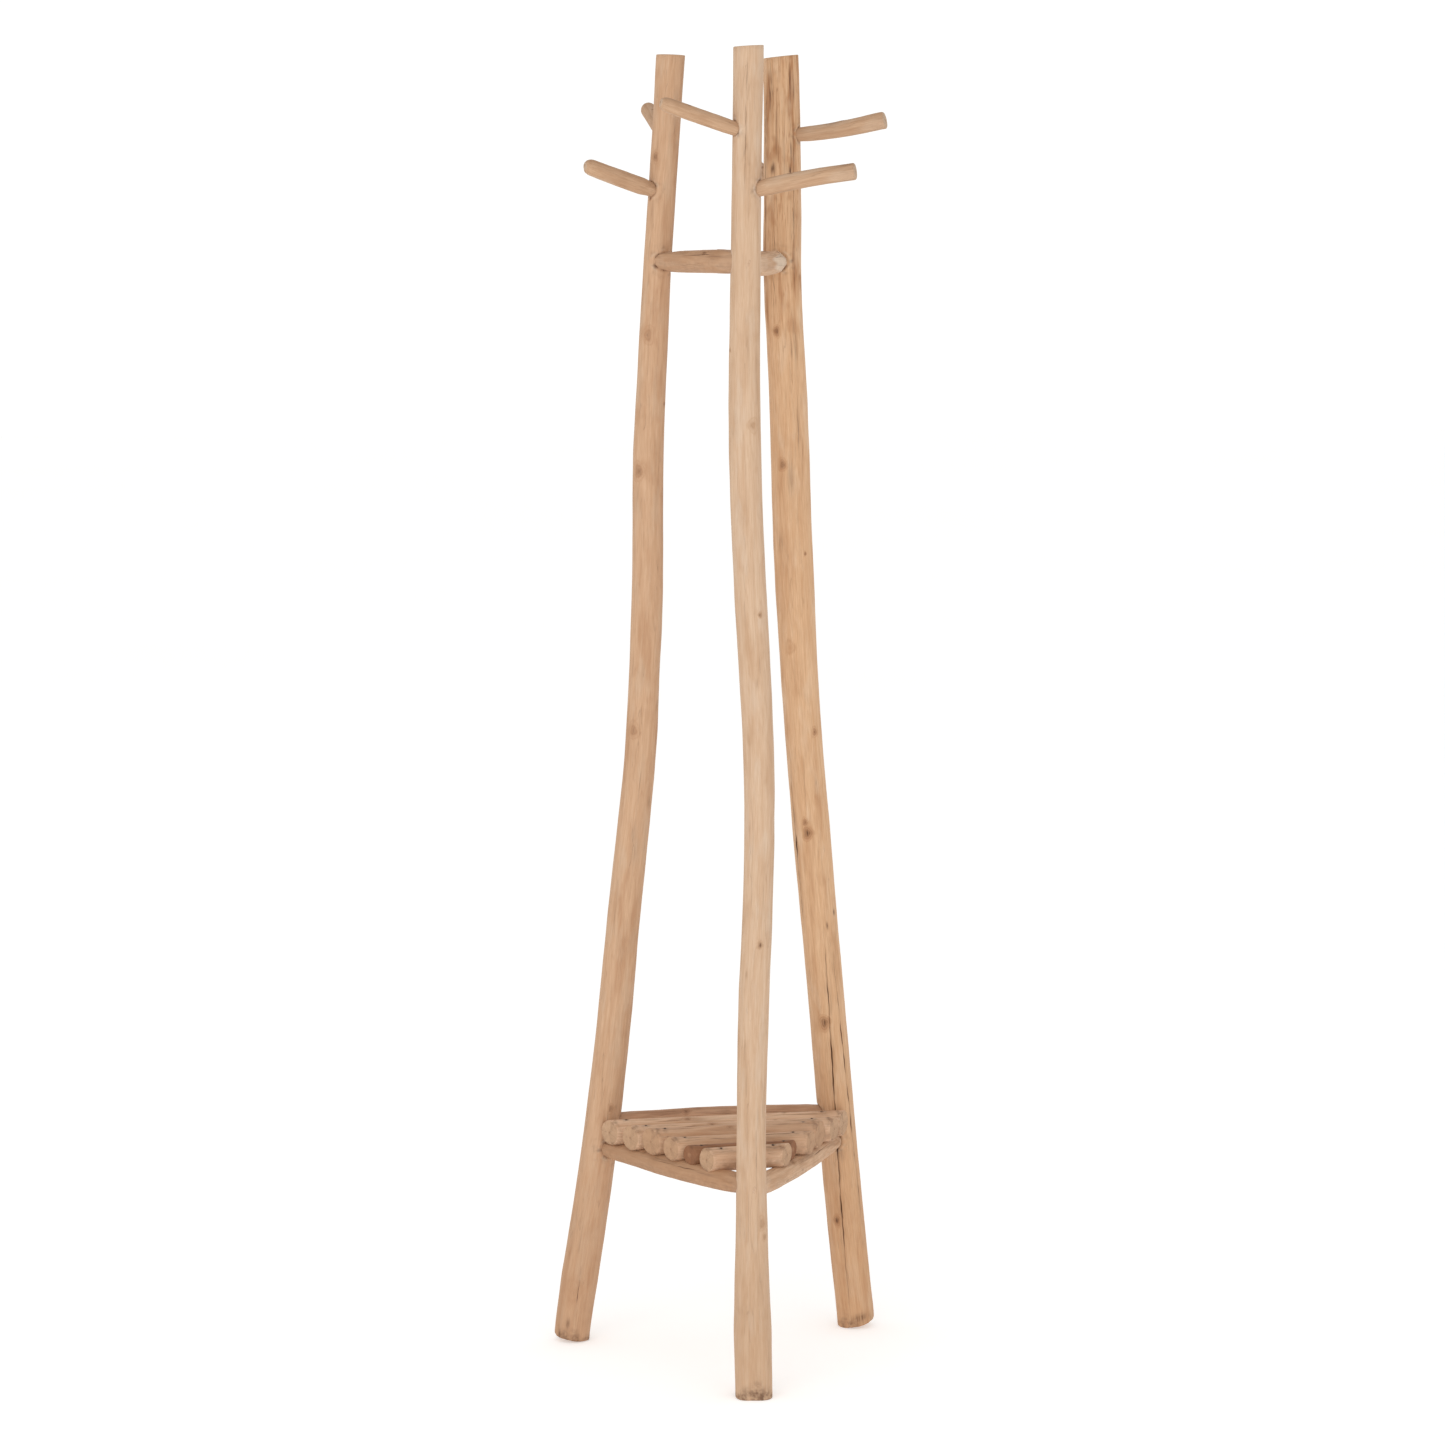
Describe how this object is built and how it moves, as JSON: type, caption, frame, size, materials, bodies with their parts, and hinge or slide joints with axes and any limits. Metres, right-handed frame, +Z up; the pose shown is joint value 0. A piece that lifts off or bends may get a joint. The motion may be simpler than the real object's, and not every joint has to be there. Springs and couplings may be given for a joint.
{
  "type": "standing coat rack",
  "caption": "Tripod coat rack of peeled branches, with coat pegs near its top and a slatted triangular shelf low down.",
  "frame": {"origin": "middle of the rack's bounding box, on the floor that its feet stand on", "axes": "+Z up, +X to the right of someone facing the front post, +Y from the front post towards the back shelf rail"},
  "size_m": [0.4638, 0.4292, 1.8023],
  "materials": {
    "front_post_wood": "bare sanded teak, palest of the posts",
    "left_post_wood": "bare sanded teak with small knots",
    "right_post_wood": "bare sanded teak, warmest of the posts, with long drying cracks",
    "peg_wood": "bare sanded teak branch",
    "rail_wood": "bare teak branch with whittled ends",
    "slat_wood": "bare teak branch with sawn ends that show the rings",
    "nail_steel": "dull dark nail heads",
    "pin_steel": "steel pin whose end is smeared with wood filler"
  },
  "bodies": {
    "root": {"front_lower_peg": "peg_wood", "front_post": "front_post_wood", "front_upper_peg": "peg_wood", "left_lower_peg": "peg_wood", "left_post": "left_post_wood", "left_upper_peg": "peg_wood", "right_lower_peg": "peg_wood", "right_post": "right_post_wood", "right_upper_peg": "peg_wood", "shelf_back_rail": "rail_wood", "shelf_back_rail_left_pin": "pin_steel", "shelf_back_rail_right_pin": "pin_steel", "shelf_left_rail": "rail_wood", "shelf_left_rail_front_pin": "pin_steel", "shelf_left_rail_left_pin": "pin_steel", "shelf_right_rail": "rail_wood", "shelf_right_rail_front_pin": "pin_steel", "shelf_right_rail_right_pin": "pin_steel", "slat_1": "slat_wood", "slat_1_left_nail": "nail_steel", "slat_1_right_nail": "nail_steel", "slat_2": "slat_wood", "slat_2_left_nail": "nail_steel", "slat_2_right_nail": "nail_steel", "slat_3": "slat_wood", "slat_3_left_nail": "nail_steel", "slat_3_right_nail": "nail_steel", "slat_4": "slat_wood", "slat_4_left_nail": "nail_steel", "slat_4_right_nail": "nail_steel", "slat_5": "slat_wood", "slat_5_left_nail": "nail_steel", "slat_5_right_nail": "nail_steel", "slat_6": "slat_wood", "slat_6_left_nail": "nail_steel", "slat_6_right_nail": "nail_steel", "top_back_rail": "rail_wood", "top_back_rail_left_pin": "pin_steel", "top_back_rail_right_pin": "pin_steel", "top_left_rail": "rail_wood", "top_left_rail_front_pin": "pin_steel", "top_left_rail_left_pin": "pin_steel", "top_right_rail": "rail_wood", "top_right_rail_front_pin": "pin_steel", "top_right_rail_right_pin": "pin_steel"}
  },
  "joints": []
}
